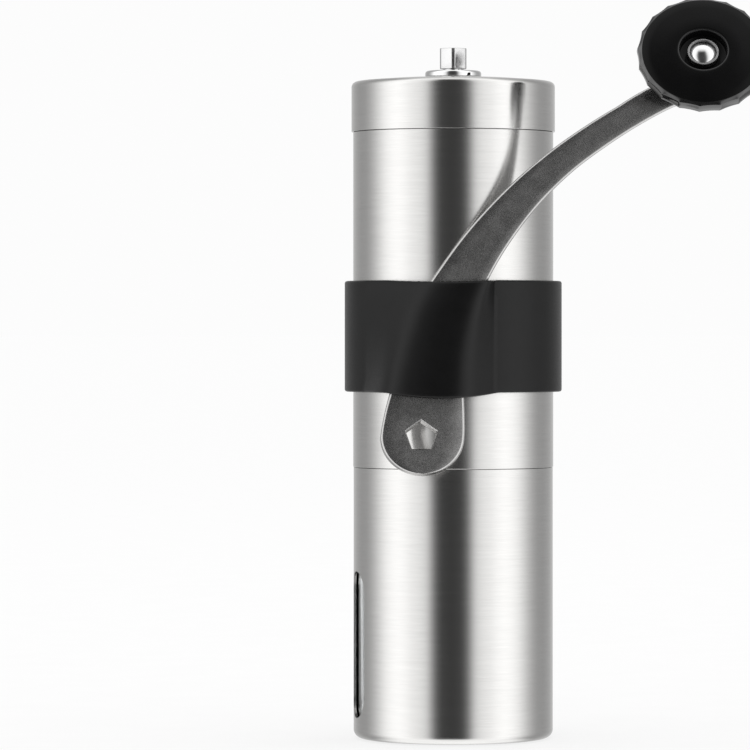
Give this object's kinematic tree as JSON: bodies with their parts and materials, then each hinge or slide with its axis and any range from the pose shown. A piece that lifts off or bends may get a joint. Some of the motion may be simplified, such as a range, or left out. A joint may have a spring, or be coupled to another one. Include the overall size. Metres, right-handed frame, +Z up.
{
  "type": "hand crank coffee grinder",
  "caption": "Slim steel tube coffee grinder with a catch cup, domed lid, ceramic burrs and a folding-away crank held under a rubber band",
  "frame": {"origin": "centre of the cup's flat base, where it stands on a table", "axes": "+Z up along the tube's axis, -Y towards the stowed crank, +X towards the knob"},
  "size_m": [0.0981, 0.0624, 0.1726],
  "materials": {
    "brushed_steel": "satin brushed stainless steel",
    "dark_steel": "plain satin steel",
    "polished_steel": "polished",
    "bronze": "plain sintered bronze",
    "ceramic": "off-white fired ceramic",
    "clear_plastic": "clear moulded plastic",
    "black_gloss": "glossy black moulded plastic",
    "grey_plastic": "dark moulded plastic",
    "rubber": "smooth black rubber"
  },
  "bodies": {
    "cup": {"cup_shell": "brushed_steel", "cup_liner": "clear_plastic"},
    "body": {"body_tube": "brushed_steel", "burr_housing": "grey_plastic", "outer_burr": "ceramic", "burr_retaining_ring": "grey_plastic", "lower_bush": "bronze", "upper_bracket": "dark_steel", "upper_bush": "bronze", "grip_band": "rubber"},
    "lid": {"lid_cap": "brushed_steel", "lid_collar": "polished_steel", "lid_liner": "grey_plastic"},
    "shaft": {"drive_shaft": "dark_steel", "burr_spring": "brushed_steel"},
    "cone": {"inner_burr": "ceramic", "burr_carrier": "grey_plastic", "spring_washer": "brushed_steel", "stop_washer": "brushed_steel"},
    "nut": {"adjusting_nut": "grey_plastic"},
    "crank": {"crank_arm": "brushed_steel", "knob_pin": "polished_steel", "knob_head_washer": "polished_steel", "knob_washer": "polished_steel"},
    "knob": {"crank_knob": "black_gloss"}
  },
  "joints": [
    {"name": "body_lift", "type": "slide", "parent": "cup", "child": "body", "axis": [0, 0, 1], "range_m": [0, 0.04]},
    {"name": "lid_lift", "type": "slide", "parent": "body", "child": "lid", "axis": [0, 0, 1], "range_m": [0, 0.035]},
    {"name": "shaft_spin", "type": "hinge", "parent": "body", "child": "shaft", "pos_m": [0, 0, 0.1], "axis": [0, 0, 1], "continuous": true},
    {"name": "burr_adjust", "type": "slide", "parent": "shaft", "child": "cone", "axis": [0, 0, 1], "range_m": [-0.002, 0.001], "deforming": ["burr_spring"]},
    {"name": "nut_turn", "type": "hinge", "parent": "cone", "child": "nut", "pos_m": [0, 0, 0.052], "axis": [0, 0, 1], "range_deg": [-720, 360]},
    {"name": "crank_slide", "type": "slide", "parent": "body", "child": "crank", "axis": [0.2419, 0, 0.9703], "range_m": [0, 0.06], "deforming": ["grip_band"]},
    {"name": "knob_spin", "type": "hinge", "parent": "crank", "child": "knob", "pos_m": [0.0574, -0.0197, 0.1541], "axis": [0, -0.8572, 0.515], "continuous": true}
  ],
  "couplings": [
    {"joint": "nut_turn", "follows": "burr_adjust", "rad_per_m": 6283.2}
  ]
}
